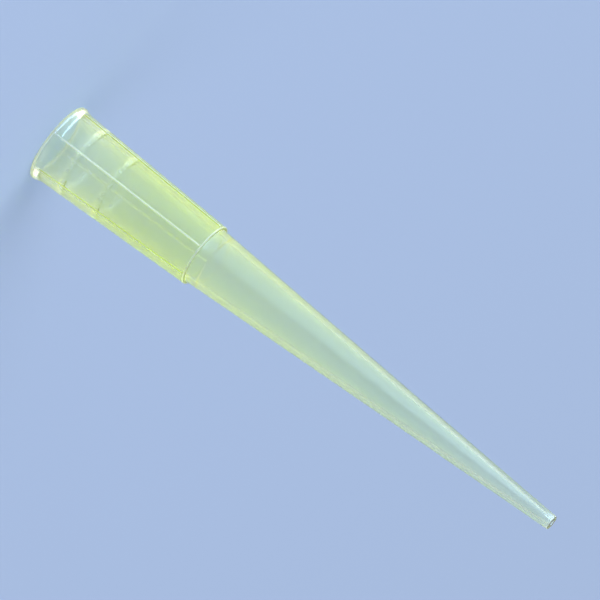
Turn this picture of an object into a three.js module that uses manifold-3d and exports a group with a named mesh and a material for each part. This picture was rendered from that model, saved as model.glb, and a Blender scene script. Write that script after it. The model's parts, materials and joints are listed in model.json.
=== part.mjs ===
// A universal 200 microlitre pipette tip, moulded in one piece of translucent yellow polypropylene.
//
// Millimetres, +Z up. The tip stands on its rim with its point upwards: the axis is the Z axis,
// and z = 0 is the flat end face of the rim. The wall is one turned section. The collar at the
// bottom holds the socket for the pipette's nose cone, and six fine ribs run along its outside.
// The outside follows the inside: each outer diameter is an inner one with a wall added to it.

import * as THREE from "three";
import { mergeVertices } from "three/addons/utils/BufferGeometryUtils.js";
import Module from "manifold-3d";

// Lengths along the axis.
const totalLength = 53;
const collarLength = 15.95;
const nozzleLength = 5;

// Socket for the nose cone. Its diameters are those of the plain cone between its sealing bands.
const socketMouthDiameter = 5.62;
const socketEndDiameter = 4.24;
const socketPastLedge = 0.95;
const leadInDepth = 0.4;
const leadInWidth = 0.14;

// Sealing bands: low rings that stand proud of the socket's wall and grip the nose cone.
const bandCount = 2;
const firstBandDepth = 2.55;
const bandSpacing = 3.55;
const bandLength = 0.7;
const bandHeight = 0.05;
const bandFlank = 0.16;

// Bore for the liquid, from the small shoulder at the socket's end to the orifice.
const shoulderWidth = 0.08;
const shoulderHeight = 0.16;
const orificeDiameter = 0.5;

// Walls, and the ledge by which the collar stands out from the body.
const collarMouthWall = 0.65;
const bodyWall = 0.49;
const nozzleWall = 0.405;
const ledgeWidth = 0.257;
const ledgeEdgeRound = 0.06;
const ledgeRootRound = 0.04;
const pointEdgeRound = 0.06;

// Flared lip round the mouth.
const lipStandOut = 0.17;
const lipHeight = 1.2;
const lipEdgeRound = 0.18;

// Ribs along the outside of the collar.
const ribCount = 6;
const ribWidth = 0.16;
const ribHeight = 0.09;
const ribLedgeGap = 0.06;
const firstRibAzimuth = -97.5;

// Fineness of the faceted model.
const turnSegments = 72;
const roundSegments = 4;
const flareSegments = 8;
const crestSegments = 8;

const plastic = new THREE.MeshStandardMaterial({
  color: 0xdcec8a,
  roughness: 0.3,
  metalness: 0,
  transparent: true,
  opacity: 0.6,
});

const at = (radius, z) => new THREE.Vector2(radius, z);

// The radius at height z of the cone through two circles.
const cone = (z0, radius0, z1, radius1) => (z) =>
  THREE.MathUtils.mapLinear(z, z0, z1, radius0, radius1);

// Inside: the socket's cone, then the bore's.
const socketEnd = collarLength + socketPastLedge;
const socketRadius = cone(0, socketMouthDiameter / 2, socketEnd, socketEndDiameter / 2);
const boreStart = socketEnd + shoulderHeight;
const boreStartRadius = socketEndDiameter / 2 - shoulderWidth;
const boreRadius = cone(boreStart, boreStartRadius, totalLength, orificeDiameter / 2);

// Outside: the collar's cone, the body's and the nozzle's.
const bodyLedgeRadius = socketRadius(collarLength) + bodyWall;
const collarLedgeRadius = bodyLedgeRadius + ledgeWidth;
const collarMouthRadius = socketMouthDiameter / 2 + collarMouthWall;
const collarRadius = cone(0, collarMouthRadius, collarLength, collarLedgeRadius);
const lipRadius = collarMouthRadius + lipStandOut;
const nozzleStart = totalLength - nozzleLength;
const nozzleRadius = boreRadius(nozzleStart) + nozzleWall;
const pointRadius = orificeDiameter / 2 + nozzleWall;

// A quarter round from start to end, tangent to the two straight edges that would meet at corner.
function quarterRound(start, corner, end) {
  const toStart = start.clone().sub(corner);
  const toEnd = end.clone().sub(corner);
  return Array.from({ length: roundSegments + 1 }, (_, i) => {
    const turn = ((i / roundSegments) * Math.PI) / 2;
    return corner
      .clone()
      .addScaledVector(toStart, 1 - Math.sin(turn))
      .addScaledVector(toEnd, 1 - Math.cos(turn));
  });
}

// The lip: its rounded end edge, then a hollow flare that runs out into the collar's cone.
function lipOutline() {
  const edge = quarterRound(
    at(lipRadius - lipEdgeRound, 0),
    at(lipRadius, 0),
    at(lipRadius, lipEdgeRound),
  );
  const flare = new THREE.CubicBezierCurve(
    at(lipRadius, lipEdgeRound),
    at(lipRadius, THREE.MathUtils.lerp(lipEdgeRound, lipHeight, 0.35)),
    at(collarRadius(lipHeight), THREE.MathUtils.lerp(lipEdgeRound, lipHeight, 0.45)),
    at(collarRadius(lipHeight), lipHeight),
  );
  return [...edge, ...flare.getPoints(flareSegments).slice(1)];
}

// The ledge: the collar's rounded end edge, the flat face, and the filleted root of the body.
function ledgeOutline() {
  const edgeStart = collarLength - ledgeEdgeRound;
  const edge = quarterRound(
    at(collarRadius(edgeStart), edgeStart),
    at(collarLedgeRadius, collarLength),
    at(collarLedgeRadius - ledgeEdgeRound, collarLength),
  );
  const root = quarterRound(
    at(bodyLedgeRadius + ledgeRootRound, collarLength),
    at(bodyLedgeRadius, collarLength),
    at(bodyLedgeRadius, collarLength + ledgeRootRound),
  );
  return [...edge, ...root];
}

// The nozzle, and the rounded edge of the point's end face.
function nozzleOutline() {
  const edge = quarterRound(
    at(pointRadius, totalLength - pointEdgeRound),
    at(pointRadius, totalLength),
    at(pointRadius - pointEdgeRound, totalLength),
  );
  return [at(nozzleRadius, nozzleStart), ...edge];
}

// One sealing band, met on the way from the point back to the mouth.
function bandOutline(start) {
  const end = start + bandLength;
  const crestStart = start + bandFlank;
  const crestEnd = end - bandFlank;
  return [
    at(socketRadius(end), end),
    at(socketRadius(crestEnd) - bandHeight, crestEnd),
    at(socketRadius(crestStart) - bandHeight, crestStart),
    at(socketRadius(start), start),
  ];
}

// The inside, from the orifice back to the chamfered mouth.
function insideOutline() {
  const outline = [
    at(orificeDiameter / 2, totalLength),
    at(boreStartRadius, boreStart),
    at(socketEndDiameter / 2, socketEnd),
  ];
  for (let i = bandCount - 1; i >= 0; i--) {
    outline.push(...bandOutline(firstBandDepth + i * bandSpacing));
  }
  outline.push(at(socketRadius(leadInDepth), leadInDepth));
  outline.push(at(socketMouthDiameter / 2 + leadInWidth, 0));
  return outline;
}

// The wall, turned about the Z axis from its closed section.
function turnedWall() {
  const section = [...lipOutline(), ...ledgeOutline(), ...nozzleOutline(), ...insideOutline()];
  section.push(section[0].clone());
  return new THREE.LatheGeometry(section, turnSegments).rotateX(Math.PI / 2);
}

// One rib: a round-crested strip that leans with the collar's cone. It starts inside the lip,
// stops short of the ledge, and is rooted in the middle of the wall.
function ribBar(azimuth) {
  const start = lipEdgeRound;
  const end = collarLength - ledgeEdgeRound - ribLedgeGap;
  const root = Math.min(collarMouthWall, bodyWall + ledgeWidth) / 2;
  const section = new THREE.Shape();
  section.moveTo(-root, -ribWidth / 2);
  section.lineTo(0, -ribWidth / 2);
  section.absellipse(0, 0, ribHeight, ribWidth / 2, -Math.PI / 2, Math.PI / 2);
  section.lineTo(-root, ribWidth / 2);
  const lean = Math.atan2(collarRadius(end) - collarRadius(start), end - start);
  const bar = new THREE.ExtrudeGeometry(section, {
    depth: (end - start) / Math.cos(lean),
    bevelEnabled: false,
    curveSegments: crestSegments,
  });
  bar.rotateY(lean);
  bar.translate(collarRadius(start), 0, start);
  bar.rotateZ(THREE.MathUtils.degToRad(azimuth));
  return bar;
}

const wasm = await Module();
wasm.setup();

function solidFrom(geometry) {
  const bare = geometry.clone();
  bare.deleteAttribute("normal");
  bare.deleteAttribute("uv");
  const merged = mergeVertices(bare, 1e-4);
  const mesh = new wasm.Mesh({
    numProp: 3,
    vertProperties: merged.attributes.position.array,
    triVerts: new Uint32Array(merged.index.array),
  });
  return new wasm.Manifold(mesh);
}

function geometryFrom(solid) {
  const mesh = solid.getMesh();
  const geometry = new THREE.BufferGeometry();
  geometry.setAttribute("position", new THREE.BufferAttribute(mesh.vertProperties, 3));
  geometry.setIndex(new THREE.BufferAttribute(mesh.triVerts, 1));
  geometry.computeVertexNormals();
  return geometry;
}

// The whole tip: the turned wall with the ribs joined to it.
function pipetteTip() {
  let solid = solidFrom(turnedWall());
  for (let i = 0; i < ribCount; i++) {
    const azimuth = firstRibAzimuth + (360 * i) / ribCount;
    solid = solid.add(solidFrom(ribBar(azimuth)));
  }
  const tip = new THREE.Mesh(geometryFrom(solid), plastic);
  tip.name = "pipette_tip";
  return tip;
}

const part = new THREE.Group();
part.add(pipetteTip());

export default part;
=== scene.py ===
"""The looks of a universal 200 microlitre pipette tip, modelled and finished around its CAD solid.

The CAD solid stands on the rim of its mouth at the origin, point up. One piece takes its place:
a finely turned shell of the same section with softly moulded ribs, in translucent yellow plastic.
"""

import json
import math

import bmesh
import bpy
from bpy.props import FloatProperty, FloatVectorProperty, IntProperty, PointerProperty
from mathutils import Matrix, Vector
from mathutils.geometry import interpolate_bezier


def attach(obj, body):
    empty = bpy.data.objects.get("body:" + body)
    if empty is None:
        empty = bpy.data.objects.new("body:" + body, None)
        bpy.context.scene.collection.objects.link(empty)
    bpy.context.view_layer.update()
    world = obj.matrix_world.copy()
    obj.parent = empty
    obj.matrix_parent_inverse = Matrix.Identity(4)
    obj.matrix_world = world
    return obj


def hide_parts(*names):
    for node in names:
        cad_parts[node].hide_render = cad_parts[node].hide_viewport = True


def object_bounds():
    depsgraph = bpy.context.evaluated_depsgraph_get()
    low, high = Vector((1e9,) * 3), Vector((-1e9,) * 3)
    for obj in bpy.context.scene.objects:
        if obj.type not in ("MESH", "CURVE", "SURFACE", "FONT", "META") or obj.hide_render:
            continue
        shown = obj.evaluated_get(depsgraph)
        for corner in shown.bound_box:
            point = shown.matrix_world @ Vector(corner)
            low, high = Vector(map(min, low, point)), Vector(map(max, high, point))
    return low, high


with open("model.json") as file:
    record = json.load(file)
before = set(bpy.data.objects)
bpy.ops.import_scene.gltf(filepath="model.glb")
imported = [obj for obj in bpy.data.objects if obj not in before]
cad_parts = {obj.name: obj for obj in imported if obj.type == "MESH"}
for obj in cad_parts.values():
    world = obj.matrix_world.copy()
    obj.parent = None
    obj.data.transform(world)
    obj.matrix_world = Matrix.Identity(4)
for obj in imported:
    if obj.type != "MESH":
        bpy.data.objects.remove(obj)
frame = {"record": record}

bl_info = {
    "name": "Pipette Tip",
    "version": (1, 0, 0),
    "blender": (4, 5, 0),
    "location": "3D View > Sidebar > Pipette Tip",
    "description": "Models a translucent pipette tip and sets it on a plain studio floor",
    "category": "Add Mesh",
}

CAD_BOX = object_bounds()
LEDGE = next(m for m in frame["record"]["mounts"] if m["name"] == "collar_ledge")
MM = 0.001

# How finely the shell is cut
FLARE_STEPS = 14
RIB_END_ROWS = 6
ROUND_SEGMENTS = 5
ROW_LENGTH = 1.0 * MM
STEPS_OVER_RIB = 16
STEPS_BETWEEN_RIBS = 40
SECTION_MERGE = 0.002 * MM
SHELL_MERGE = 0.0005 * MM

# Its smallest forms
FLARE_HANDLES = (0.35, 0.45)  # how high the handles of the flare's curve are, as shares of it
SOFT_EDGE = 0.04 * MM  # the rounding of the small edges
NOZZLE_ROUND = 1.0 * MM  # the rounding where the nozzle starts
RIB_SECTOR = 1.4  # how wide the finely cut sector over a rib is, in rib widths
RIB_FULLNESS = 0.8  # the power that rounds a rib's section, which is fuller with a lower one
COLLAR_SKIN = 0.01 * MM  # how far within its cone a point still counts as the collar's outside

# Where the plastic is duller: how far from an edge, and how much there
DULL = "dull"
LIP_DULLNESS = (0.5 * MM, 0.6)
LEDGE_DULLNESS = (0.2 * MM, 1.0)
POINT_DULLNESS = (0.12 * MM, 0.6)
RIB_DULLNESS_AT_MOUTH = 0.4
BAND_REACH = 1.5  # how far from the socket's cone a band is looked for, in band heights

# The grain of the plastic, across the tip and along it
STREAK_SIZE = (0.9 * MM, 14 * MM)
GRAIN_SIZE = (0.3 * MM, 0.5 * MM)
NOISE_DETAIL = 2.0
STREAK_RELIEF = 2.0
RELIEF_DEPTH = 0.01 * MM
GRAIN_ROUGHNESS = 0.04
POLYPROPYLENE_IOR = 1.49

# The stage
BROAD_LAMP = (1.8, 1.4)
LOW_LAMP = (1.6, 0.4)
STRIP_LAMP = (2.8, 0.28)
FLOOR_RADIUS = 6.0
FLOOR_SEGMENTS = 96
FLOOR_ROUGHNESS = 0.9
FLOOR_SHINE = 0.1
SENSOR_WIDTH = 36.0  # in millimetres, as the lens is
VOLUME_BOUNCES = 8  # how often light may turn in the haze

# Sockets that a colour Mix node has only by number
MIX_FACTOR = 0
MIX_FIRST = 6
MIX_SECOND = 7
MIX_RESULT = 2


def length(name, millimetres, description):
    """A property for a length, which Blender holds in metres."""
    return FloatProperty(
        name=name,
        description=description,
        default=millimetres * MM,
        min=0.0,
        precision=5,
        unit="LENGTH",
    )


def share(name, default, description):
    """A property for a number from 0 to 1."""
    return FloatProperty(
        name=name, description=description, default=default, min=0.0, max=1.0, subtype="FACTOR"
    )


def colour(name, default, description):
    """A property for a linear colour."""
    return FloatVectorProperty(
        name=name, description=description, default=default, min=0.0, max=1.0, subtype="COLOR"
    )


def density(name, default, description):
    """A property for how much a volume scatters or absorbs in each metre."""
    return FloatProperty(name=name, description=description, default=default, min=0.0)


def power(name, watts, description):
    """A property for a lamp's power."""
    return FloatProperty(
        name=name, description=description, default=watts, min=0.0, unit="POWER"
    )


def angle(name, degrees, description):
    """A property for an angle, which Blender holds in radians."""
    return FloatProperty(
        name=name, description=description, default=math.radians(degrees), subtype="ANGLE"
    )


class TipSizes(bpy.types.PropertyGroup):
    """The sizes of the tip, as its CAD solid has them."""

    total_length: length("Total length", CAD_BOX[1].z / MM, "From the rim to the point")
    collar_length: length("Collar length", LEDGE["pos_m"][2] / MM, "From the rim to the ledge")
    nozzle_length: length("Nozzle length", 5.0, "The body's last, slightly finer cone")
    lip_radius: length("Lip radius", CAD_BOX[1].x / MM, "The widest part, at the mouth")
    lip_stand_out: length("Lip stand-out", 0.17, "How far the lip stands out from the collar")
    lip_height: length("Lip height", 1.2, "Where the lip's flare has run out")
    lip_edge_round: length("Lip edge round", 0.18, "Rounding of the rim's outer edge")
    mouth_wall: length("Collar wall", 0.65, "Wall between socket and collar at the mouth")
    body_wall: length("Body wall", 0.49, "Wall between socket and body at the ledge")
    nozzle_wall: length("Nozzle wall", 0.405, "Wall round the bore along the nozzle")
    ledge_width: length("Ledge width", 0.257, "The flat step from collar to body")
    ledge_edge_round: length("Ledge edge round", 0.06, "Rounding of the collar's end edge")
    ledge_root_round: length("Ledge root round", 0.04, "Fillet between ledge and body")
    point_edge_round: length("Point edge round", 0.06, "Rounding of the point's outer edge")
    socket_end_radius: length("Socket end radius", 2.12, "The socket's radius at its end")
    socket_past_ledge: length("Socket past ledge", 0.95, "How far the socket runs past the ledge")
    lead_in_depth: length("Lead-in depth", 0.4, "Depth of the chamfer in the mouth")
    lead_in_width: length("Lead-in width", 0.14, "Width of the chamfer in the mouth")
    shoulder_width: length("Shoulder width", 0.08, "Step from the socket's end to the bore")
    shoulder_height: length("Shoulder height", 0.16, "Length of that step along the axis")
    orifice_radius: length("Orifice radius", 0.25, "The bore's radius at the point")
    band_count: IntProperty(
        name="Sealing bands", description="Low rings inside the socket", default=2, min=0
    )
    first_band_depth: length("First band depth", 2.55, "From the rim to the first band")
    band_spacing: length("Band spacing", 3.55, "From one band to the next")
    band_length: length("Band length", 0.7, "Length of a band along the axis")
    band_height: length("Band height", 0.05, "How far a band stands into the socket")
    band_flank: length("Band flank", 0.16, "Length of each sloping side of a band")
    rib_count: IntProperty(name="Ribs", description="Ribs round the collar", default=6, min=1)
    rib_width: length("Rib width", 0.2, "Width of a rib, with its soft roots")
    rib_height: length("Rib height", 0.09, "How far a rib stands out from the collar")
    rib_end_gap: length("Rib end gap", 0.12, "From the end of a rib to the ledge")
    rib_fade: length("Rib fade", 0.16, "Over this length a rib's end runs out")
    rib_azimuth: angle("Rib azimuth", -97.5, "Where the first rib is, round from +X")


class TipFinish(bpy.types.PropertyGroup):
    """The plastic's colour, haze and surface."""

    tint: colour("Tint", (0.95, 1.0, 0.91), "Colour of light that passes the surface")
    streak_tint: colour("Streak tint", (0.995, 1.0, 0.99), "Its colour along the paler streaks")
    lamp_tint: colour("Lamp tint", (0.96, 0.97, 0.94), "Colour of lamplight behind the surface")
    clearness: share("Clearness", 1.0, "Share of the light that passes through the surface")
    softness: share("Softness", 0.11, "Roughness of the moulded surface")
    edge_dullness: share("Edge dullness", 0.5, "How much rougher the ribs and fine edges are")
    edge_whiteness: share("Edge whiteness", 0.25, "How much less light passes through them")
    band_dullness: share("Band dullness", 0.28, "How dull the sealing bands are beside the ribs")
    relief: share("Relief", 0.015, "Strength of the surface's fine waviness")
    sheen: share("Sheen", 0.5, "Strength of the broad soft highlight")
    sheen_softness: share("Sheen softness", 0.3, "Roughness of the broad soft highlight")
    depth_tint: colour("Depth tint", (0.9, 1.0, 0.1), "Colour that thick plastic takes on")
    depth_at_mouth: density("Depth at the mouth", 580.0, "How fast it does, for each metre")
    depth_at_point: density("Depth at the point", 310.0, "How fast it does, for each metre")
    haze_tint: colour("Haze tint", (0.94, 1.0, 0.12), "Colour of the light the plastic scatters")
    haze_at_mouth: density("Haze at the mouth", 1050.0, "How often it scatters, for each metre")
    haze_at_point: density("Haze at the point", 120.0, "How often it scatters, for each metre")
    haze_length: length("Haze length", 36.0, "From the mouth to where the plastic is clearest")
    haze_forwardness: share("Haze forwardness", 0.9, "How little the scattered light turns")
    clear_rim: share("Clear rim", 0.4, "Share of haze and depth that the plastic has at the rim")
    clear_rim_length: length("Clear rim length", 9.0, "From the rim to where it has all of it")


class StageLook(bpy.types.PropertyGroup):
    """The floor, the lights and the camera."""

    floor_colour: colour("Floor", (0.41, 0.52, 0.76), "Colour of the plain floor")
    sky_colour: colour("Sky", (0.66, 0.67, 0.68), "Colour of the light from all round")
    sky_strength: FloatProperty(
        name="Sky strength", description="Strength of that light", default=0.72, min=0.0
    )
    front_colour: colour("Front colour", (1.0, 0.98, 0.94), "Colour of the key and fill lights")
    key_power: power("Key light", 16.5, "Broad light from the front left")
    fill_power: power("Fill light", 7.8, "Faint light from the front right")
    left_power: power("Left side light", 15.0, "Low light behind, for the glow of the edges")
    right_power: power("Right side light", 11.0, "Low light behind, for the glow of the edges")
    side_colour: colour("Side colour", (1.0, 0.98, 0.82), "Colour of the side lights")
    strip_power: power("Strip light", 40.0, "Long low light for the broad highlight")
    strip_colour: colour("Strip colour", (0.48, 0.72, 1.0), "Colour of the strip light")
    camera_distance: length("Camera distance", 1200.0, "From the camera to the tip")
    camera_lens: FloatProperty(
        name="Lens", description="The camera's focal length", default=872.0, unit="CAMERA"
    )
    camera_tilt: angle("Tilt", 13.65, "How far above the tip's side the camera looks from")
    camera_roll: angle("Roll", 127.6, "How far the camera is rolled about its line of sight")
    aim_height: length("Aim height", 24.634, "Height on the tip that the camera looks at")
    aim_aside: length("Aim aside", 1.888, "How far to the -X side of the axis it looks")


# The tip


def cone(low, low_radius, high, high_radius):
    """The radius, as a function of height, of the cone through two circles."""

    def radius_at(height):
        return low_radius + (high_radius - low_radius) * (height - low) / (high - low)

    return radius_at


class TipCones:
    """The cones of the section, inside and outside, worked out from the sizes."""

    def __init__(self, sizes):
        self.mouth_radius = sizes.lip_radius - sizes.lip_stand_out
        self.socket_mouth_radius = self.mouth_radius - sizes.mouth_wall
        self.socket_end = sizes.collar_length + sizes.socket_past_ledge
        self.socket = cone(
            0.0, self.socket_mouth_radius, self.socket_end, sizes.socket_end_radius
        )
        self.bore_start = self.socket_end + sizes.shoulder_height
        self.bore_start_radius = sizes.socket_end_radius - sizes.shoulder_width
        self.bore = cone(
            self.bore_start, self.bore_start_radius, sizes.total_length, sizes.orifice_radius
        )
        self.body_ledge_radius = self.socket(sizes.collar_length) + sizes.body_wall
        self.collar_ledge_radius = self.body_ledge_radius + sizes.ledge_width
        self.collar = cone(
            0.0, self.mouth_radius, sizes.collar_length, self.collar_ledge_radius
        )
        self.nozzle_start = sizes.total_length - sizes.nozzle_length
        self.nozzle_radius = self.bore(self.nozzle_start) + sizes.nozzle_wall
        self.point_radius = sizes.orifice_radius + sizes.nozzle_wall


def lip_flare(sizes, cones):
    """Points of the hollow flare from the lip's edge to the collar's cone."""
    low, high = sizes.lip_edge_round, sizes.lip_height
    first_handle, second_handle = FLARE_HANDLES
    foot = cones.collar(high)
    curve = interpolate_bezier(
        Vector((sizes.lip_radius, 0.0, low)),
        Vector((sizes.lip_radius, 0.0, low + first_handle * (high - low))),
        Vector((foot, 0.0, low + second_handle * (high - low))),
        Vector((foot, 0.0, high)),
        FLARE_STEPS,
    )
    return [(point.x, point.z, 0.0) for point in curve]


def rib_end_rows(sizes, cones):
    """Points on the collar's cone along which the ends of the ribs run out."""
    end = sizes.collar_length - sizes.rib_end_gap
    rows = range(RIB_END_ROWS + 1)
    heights = [end - sizes.rib_fade * (1 - row / RIB_END_ROWS) for row in rows]
    return [(cones.collar(height), height, 0.0) for height in heights]


def socket_bands(sizes, cones):
    """Corners of the sealing bands, met on the way from the point back to the mouth."""
    rounding = sizes.band_flank / 3
    corners = []
    for i in reversed(range(sizes.band_count)):
        start = sizes.first_band_depth + i * sizes.band_spacing
        end = start + sizes.band_length
        for height, proud in (
            (end, 0.0),
            (end - sizes.band_flank, sizes.band_height),
            (start + sizes.band_flank, sizes.band_height),
            (start, 0.0),
        ):
            corners.append((cones.socket(height) - proud, height, rounding))
    return corners


def section_corners(sizes, cones):
    """The section's corners as radius, height and rounding, round from the mouth and back."""
    return [
        (cones.socket_mouth_radius + sizes.lead_in_width, 0.0, SOFT_EDGE),
        (sizes.lip_radius, 0.0, sizes.lip_edge_round),
        *lip_flare(sizes, cones),
        *rib_end_rows(sizes, cones),
        (cones.collar_ledge_radius, sizes.collar_length, sizes.ledge_edge_round),
        (cones.body_ledge_radius, sizes.collar_length, sizes.ledge_root_round),
        (cones.nozzle_radius, cones.nozzle_start, NOZZLE_ROUND),
        (cones.point_radius, sizes.total_length, sizes.point_edge_round),
        (sizes.orifice_radius, sizes.total_length, SOFT_EDGE / 2),
        (cones.bore_start_radius, cones.bore_start, SOFT_EDGE),
        (sizes.socket_end_radius, cones.socket_end, SOFT_EDGE),
        *socket_bands(sizes, cones),
        (cones.socket(sizes.lead_in_depth), sizes.lead_in_depth, SOFT_EDGE * 2),
    ]


def draw_section(mesh, sizes, cones):
    """Draws the closed section in the XZ plane, rounds its corners and cuts its long sides."""
    corners = section_corners(sizes, cones)
    verts = [mesh.verts.new((radius, 0.0, height)) for radius, height, _ in corners]
    for vert, following in zip(verts, verts[1:] + verts[:1]):
        mesh.edges.new((vert, following))
    for vert, (_, _, rounding) in zip(verts, corners):
        if rounding > 0:
            bmesh.ops.bevel(
                mesh,
                geom=[vert],
                offset=rounding,
                offset_type="OFFSET",
                segments=ROUND_SEGMENTS,
                profile=0.5,
                material=-1,
                affect="VERTICES",
            )
    bmesh.ops.remove_doubles(mesh, verts=mesh.verts[:], dist=SECTION_MERGE)
    for edge in mesh.edges[:]:
        cuts = math.ceil(edge.calc_length() / ROW_LENGTH) - 1
        if cuts > 0:
            bmesh.ops.subdivide_edges(mesh, edges=[edge], cuts=cuts)


def turn_section(mesh, sizes):
    """Turns the section right round the axis, finely over each rib, and merges where it closes."""
    pitch = math.tau / sizes.rib_count
    over_rib = RIB_SECTOR * sizes.rib_width / sizes.lip_radius
    start = Matrix.Rotation(sizes.rib_azimuth - over_rib / 2, 3, "Z")
    bmesh.ops.rotate(mesh, verts=mesh.verts[:], matrix=start)
    section = mesh.verts[:] + mesh.edges[:]
    for _ in range(sizes.rib_count):
        for turn, steps in (
            (over_rib, STEPS_OVER_RIB),
            (pitch - over_rib, STEPS_BETWEEN_RIBS),
        ):
            spun = bmesh.ops.spin(
                mesh, geom=section, axis=(0.0, 0.0, 1.0), angle=turn, steps=steps
            )
            section = spun["geom_last"]
    bmesh.ops.remove_doubles(mesh, verts=mesh.verts[:], dist=SHELL_MERGE)
    bmesh.ops.recalc_face_normals(mesh, faces=mesh.faces[:])


def eased(part):
    """A share from 0 to 1, made to start and end gently."""
    return part * part * (3 - 2 * part)


def raise_ribs(mesh, sizes, cones, dull):
    """Raises the ribs from the collar's outside, with soft roots, dull crests and faded ends."""
    pitch = math.tau / sizes.rib_count
    end = sizes.collar_length - sizes.rib_end_gap
    for vert in mesh.verts:
        radius, height = vert.co.xy.length, vert.co.z
        collar = cones.collar(height)
        if height >= end or radius < collar - COLLAR_SKIN:
            continue
        azimuth = math.atan2(vert.co.y, vert.co.x) - sizes.rib_azimuth
        off_crest = (azimuth + pitch / 2) % pitch - pitch / 2
        across = abs(off_crest) * radius / (sizes.rib_width / 2)
        if across >= 1:
            continue
        fade = eased(min((end - height) / sizes.rib_fade, 1.0))
        rise = fade * (1 - across * across) ** RIB_FULLNESS
        crest = collar + sizes.rib_height * rise
        away_from_mouth = min(height / sizes.first_band_depth, 1.0)
        dullness = RIB_DULLNESS_AT_MOUTH + (1 - RIB_DULLNESS_AT_MOUTH) * away_from_mouth
        vert[dull] = rise * rise * dullness
        if crest > radius:
            vert.co.xy *= crest / radius


def dull_bands(mesh, sizes, cones, dull, dullness):
    """Marks the crests of the sealing bands as a little duller than the socket."""
    for vert in mesh.verts:
        proud = cones.socket(vert.co.z) - vert.co.xy.length
        if vert.co.z < cones.socket_end and 0 < proud < BAND_REACH * sizes.band_height:
            vert[dull] = max(vert[dull], dullness * min(proud / sizes.band_height, 1.0))


def dull_fine_edges(mesh, sizes, cones, dull):
    """Marks the rounded edges of the lip, the ledge and the point as duller than the rest."""
    for radius, height, (reach, most) in (
        (sizes.lip_radius, 0.0, LIP_DULLNESS),
        (cones.collar_ledge_radius, sizes.collar_length, LEDGE_DULLNESS),
        (cones.point_radius, sizes.total_length, POINT_DULLNESS),
    ):
        for vert in mesh.verts:
            away = math.hypot(vert.co.xy.length - radius, vert.co.z - height)
            near = max(1 - away / reach, 0.0)
            vert[dull] = max(vert[dull], most * near)


class Graph:
    """A material's nodes, with short ways to add and join them."""

    def __init__(self, name):
        self.material = bpy.data.materials.new(name)
        self.material.use_nodes = True
        tree = self.material.node_tree
        self.nodes, self.links = tree.nodes, tree.links
        self.surface = self.nodes["Principled BSDF"]
        self.output = self.nodes["Material Output"]

    def fill(self, node, inputs):
        """Sets each named or numbered input to a value, or links an output to it."""
        for name, value in inputs.items():
            if isinstance(value, bpy.types.NodeSocket):
                self.links.new(value, node.inputs[name])
            else:
                node.inputs[name].default_value = value

    def add(self, kind, inputs, **settings):
        """Adds a node with its inputs and settings."""
        node = self.nodes.new(kind)
        for name, value in settings.items():
            setattr(node, name, value)
        self.fill(node, inputs)
        return node

    def combine(self, operation, first, second):
        """Two values added or multiplied, as the operation says."""
        node = self.add("ShaderNodeMath", {0: first, 1: second}, operation=operation)
        return node.outputs["Value"]

    def times(self, value, factor):
        """A value times a factor."""
        return self.combine("MULTIPLY", value, factor)

    def plus(self, value, more):
        """A value plus another."""
        return self.combine("ADD", value, more)

    def mix(self, factor, first, second):
        """One colour turning into another with the factor."""
        inputs = {MIX_FACTOR: factor, MIX_FIRST: first, MIX_SECOND: second}
        return self.add("ShaderNodeMix", inputs, data_type="RGBA").outputs[MIX_RESULT]

    def graded(self, height, low, high):
        """A value that goes evenly from low at the piece's foot to high at a height."""
        place = self.add("ShaderNodeTexCoord", {}).outputs["Object"]
        along = self.add("ShaderNodeSeparateXYZ", {"Vector": place}).outputs["Z"]
        ends = {"Value": along, "From Max": height, "To Min": low, "To Max": high}
        return self.add("ShaderNodeMapRange", ends).outputs["Result"]

    def noise(self, across, along):
        """Soft noise in the piece's own space, with grains of one size across it and one along."""
        place = self.add("ShaderNodeTexCoord", {}).outputs["Object"]
        scale = Vector((1 / across, 1 / across, 1 / along))
        spread = self.add("ShaderNodeMapping", {"Vector": place, "Scale": scale})
        cloud = {"Vector": spread.outputs["Vector"], "Scale": 1.0, "Detail": NOISE_DETAIL}
        return self.add("ShaderNodeTexNoise", cloud).outputs["Fac"]


def moulded_surface(graph, finish):
    """The surface: streaked by the plastic's flow, finely grained, dull where it is marked so."""
    streaks = graph.noise(*STREAK_SIZE)
    grain = graph.noise(*GRAIN_SIZE)
    dull = graph.add("ShaderNodeAttribute", {}, attribute_name=DULL).outputs["Fac"]
    tinted = graph.mix(streaks, (*finish.tint, 1.0), (*finish.streak_tint, 1.0))
    rough = graph.plus(graph.times(dull, finish.edge_dullness), finish.softness)
    clear = graph.plus(graph.times(dull, -finish.edge_whiteness), finish.clearness)
    relief = graph.add("ShaderNodeBump", {
        "Strength": finish.relief,
        "Distance": RELIEF_DEPTH,
        "Height": graph.plus(graph.times(streaks, STREAK_RELIEF), grain),
    })
    graph.fill(graph.surface, {
        "Base Color": tinted,
        "Roughness": graph.plus(rough, graph.times(grain, GRAIN_ROUGHNESS)),
        "Normal": relief.outputs["Normal"],
        "IOR": POLYPROPYLENE_IOR,
        "Transmission Weight": clear,
        "Coat Weight": finish.sheen,
        "Coat Roughness": finish.sheen_softness,
    })


def let_lamps_through(graph, finish):
    """Lets lamplight through to the inside and the floor, which makes the thin walls glow."""
    clear = graph.add("ShaderNodeBsdfTransparent", {"Color": (*finish.lamp_tint, 1.0)})
    path = graph.add("ShaderNodeLightPath", {})
    both = graph.add("ShaderNodeMixShader", {
        0: path.outputs["Is Shadow Ray"],
        1: graph.surface.outputs["BSDF"],
        2: clear.outputs["BSDF"],
    })
    graph.fill(graph.output, {"Surface": both.outputs[0]})


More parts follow.
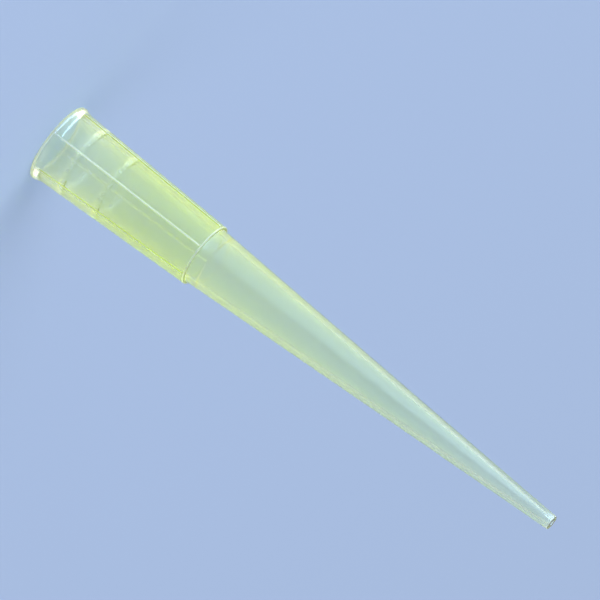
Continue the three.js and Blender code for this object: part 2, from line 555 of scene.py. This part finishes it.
def hazy_inside(graph, finish, height):
    """The inside of the walls: hazy and yellower with depth, clearer at the rim and the point."""
    rim = graph.graded(finish.clear_rim_length, finish.clear_rim, 1.0)
    hazier = graph.graded(finish.haze_length, finish.haze_at_mouth, finish.haze_at_point)
    deeper = graph.graded(height, finish.depth_at_mouth, finish.depth_at_point)
    haze = graph.add("ShaderNodeVolumeScatter", {
        "Color": (*finish.haze_tint, 1.0),
        "Density": graph.times(hazier, rim),
        "Anisotropy": finish.haze_forwardness,
    })
    depth = graph.add("ShaderNodeVolumeAbsorption", {
        "Color": (*finish.depth_tint, 1.0),
        "Density": graph.times(deeper, rim),
    })
    both = graph.add("ShaderNodeAddShader", {0: depth.outputs[0], 1: haze.outputs[0]})
    graph.fill(graph.output, {"Volume": both.outputs[0]})


def yellow_polypropylene(finish, height):
    """Translucent yellow polypropylene, for a piece of this height."""
    graph = Graph("yellow_polypropylene")
    moulded_surface(graph, finish)
    let_lamps_through(graph, finish)
    hazy_inside(graph, finish, height)
    return graph.material


class PIPETTE_OT_model_tip(bpy.types.Operator):
    """Model the tip, give it its plastic and let it stand for the CAD solid"""

    bl_idname = "pipette.model_tip"
    bl_label = "Model Tip"

    def execute(self, context):
        sizes = context.scene.tip_sizes
        finish = context.scene.tip_finish
        cones = TipCones(sizes)
        mesh = bmesh.new()
        draw_section(mesh, sizes, cones)
        turn_section(mesh, sizes)
        dull = mesh.verts.layers.float.new(DULL)
        raise_ribs(mesh, sizes, cones, dull)
        dull_bands(mesh, sizes, cones, dull, finish.band_dullness)
        dull_fine_edges(mesh, sizes, cones, dull)
        for face in mesh.faces:
            face.smooth = True
        data = bpy.data.meshes.new("moulded_tip")
        mesh.to_mesh(data)
        mesh.free()
        tip = bpy.data.objects.new("moulded_tip", data)
        context.scene.collection.objects.link(tip)
        tip.modifiers.new("even_shading", "WEIGHTED_NORMAL")
        data.materials.append(yellow_polypropylene(finish, sizes.total_length))
        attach(tip, "root")
        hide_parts("pipette_tip")
        return {"FINISHED"}


# The stage


def build_floor(look):
    """A plain matt floor, level with the rim that the tip stands on."""
    mesh = bmesh.new()
    bmesh.ops.create_circle(
        mesh, cap_ends=True, segments=FLOOR_SEGMENTS, radius=FLOOR_RADIUS
    )
    data = bpy.data.meshes.new("floor")
    mesh.to_mesh(data)
    mesh.free()
    floor = bpy.data.objects.new("floor", data)
    bpy.context.scene.collection.objects.link(floor)
    material = bpy.data.materials.new("floor_paint")
    material.use_nodes = True
    surface = material.node_tree.nodes["Principled BSDF"]
    surface.inputs["Base Color"].default_value = (*look.floor_colour, 1.0)
    surface.inputs["Roughness"].default_value = FLOOR_ROUGHNESS
    surface.inputs["Specular IOR Level"].default_value = FLOOR_SHINE
    data.materials.append(material)


def add_area_light(
    name, watts, colour, azimuth, elevation, distance, size, mirrored=True, hazed=True
):
    """A soft light, aimed at the tip from an azimuth round from +X and an elevation, in degrees.

    It isn't seen through the tip. If it isn't mirrored it makes no highlight,
    and if it isn't hazed it doesn't light the haze inside the walls.
    """
    lamp = bpy.data.lights.new(name, "AREA")
    lamp.shape = "RECTANGLE"
    lamp.size, lamp.size_y = size
    lamp.energy = watts
    lamp.color = colour
    holder = bpy.data.objects.new(name, lamp)
    turn, rise = math.radians(azimuth), math.radians(elevation)
    towards = Vector(
        (math.cos(turn) * math.cos(rise), math.sin(turn) * math.cos(rise), math.sin(rise))
    )
    holder.location = (CAD_BOX[0] + CAD_BOX[1]) / 2 + towards * distance
    holder.rotation_euler = towards.to_track_quat("Z", "Y").to_euler()
    holder.visible_transmission = False
    holder.visible_glossy = mirrored
    holder.visible_volume_scatter = hazed
    bpy.context.scene.collection.objects.link(holder)


def build_lights(look):
    """Soft lights from the front and both sides, a long low one for the highlight, and the sky."""
    add_area_light(
        "key_light", look.key_power, look.front_colour,
        azimuth=-150, elevation=25, distance=1.6, size=BROAD_LAMP, mirrored=False,
    )
    add_area_light(
        "fill_light", look.fill_power, look.front_colour,
        azimuth=-35, elevation=30, distance=2.0, size=BROAD_LAMP,
    )
    add_area_light(
        "right_side_light", look.right_power, look.side_colour,
        azimuth=35, elevation=6.5, distance=1.6, size=LOW_LAMP,
    )
    add_area_light(
        "left_side_light", look.left_power, look.side_colour,
        azimuth=145, elevation=6.5, distance=1.6, size=LOW_LAMP,
    )
    add_area_light(
        "strip_light", look.strip_power, look.strip_colour,
        azimuth=-150, elevation=5.8, distance=1.4, size=STRIP_LAMP, hazed=False,
    )
    world = bpy.data.worlds.new("studio")
    world.use_nodes = True
    sky = world.node_tree.nodes["Background"]
    sky.inputs["Color"].default_value = (*look.sky_colour, 1.0)
    sky.inputs["Strength"].default_value = look.sky_strength
    bpy.context.scene.world = world


def build_camera(look):
    """A long-lens camera from the -Y side, looking a little down, rolled so the tip lies aslant."""
    lens = bpy.data.cameras.new("camera")
    lens.lens = look.camera_lens
    lens.sensor_width = SENSOR_WIDTH
    camera = bpy.data.objects.new("camera", lens)
    back = Vector((0.0, -math.cos(look.camera_tilt), math.sin(look.camera_tilt)))
    level = back.to_track_quat("Z", "Y").to_matrix()
    turned = level @ Matrix.Rotation(look.camera_roll, 3, "Z")
    aim = Vector((-look.aim_aside, 0.0, look.aim_height))
    place = Matrix.Translation(aim + back * look.camera_distance)
    camera.matrix_world = place @ turned.to_4x4()
    bpy.context.scene.collection.objects.link(camera)
    bpy.context.scene.camera = camera


class PIPETTE_OT_build_stage(bpy.types.Operator):
    """Build the floor, the lights and the camera"""

    bl_idname = "pipette.build_stage"
    bl_label = "Build Stage"

    def execute(self, context):
        look = context.scene.stage_look
        build_floor(look)
        build_lights(look)
        build_camera(look)
        context.scene.view_settings.view_transform = "Standard"
        context.scene.cycles.volume_bounces = VOLUME_BOUNCES
        return {"FINISHED"}


class PIPETTE_PT_sidebar(bpy.types.Panel):
    """Buttons and settings for the tip and its stage"""

    bl_label = "Pipette Tip"
    bl_idname = "PIPETTE_PT_sidebar"
    bl_space_type = "VIEW_3D"
    bl_region_type = "UI"
    bl_category = "Pipette Tip"

    def draw(self, context):
        layout = self.layout
        for group, button in (
            (context.scene.tip_sizes, None),
            (context.scene.tip_finish, "pipette.model_tip"),
            (context.scene.stage_look, "pipette.build_stage"),
        ):
            column = layout.column(align=True)
            for name in group.__annotations__:
                column.prop(group, name)
            if button:
                layout.operator(button)


CLASSES = (
    TipSizes,
    TipFinish,
    StageLook,
    PIPETTE_OT_model_tip,
    PIPETTE_OT_build_stage,
    PIPETTE_PT_sidebar,
)


def register():
    for cls in CLASSES:
        bpy.utils.register_class(cls)
    bpy.types.Scene.tip_sizes = PointerProperty(type=TipSizes)
    bpy.types.Scene.tip_finish = PointerProperty(type=TipFinish)
    bpy.types.Scene.stage_look = PointerProperty(type=StageLook)


def unregister():
    del bpy.types.Scene.stage_look
    del bpy.types.Scene.tip_finish
    del bpy.types.Scene.tip_sizes
    for cls in reversed(CLASSES):
        bpy.utils.unregister_class(cls)


def main():
    register()
    bpy.ops.pipette.model_tip()
    bpy.ops.pipette.build_stage()


if __name__ == "__main__":
    main()
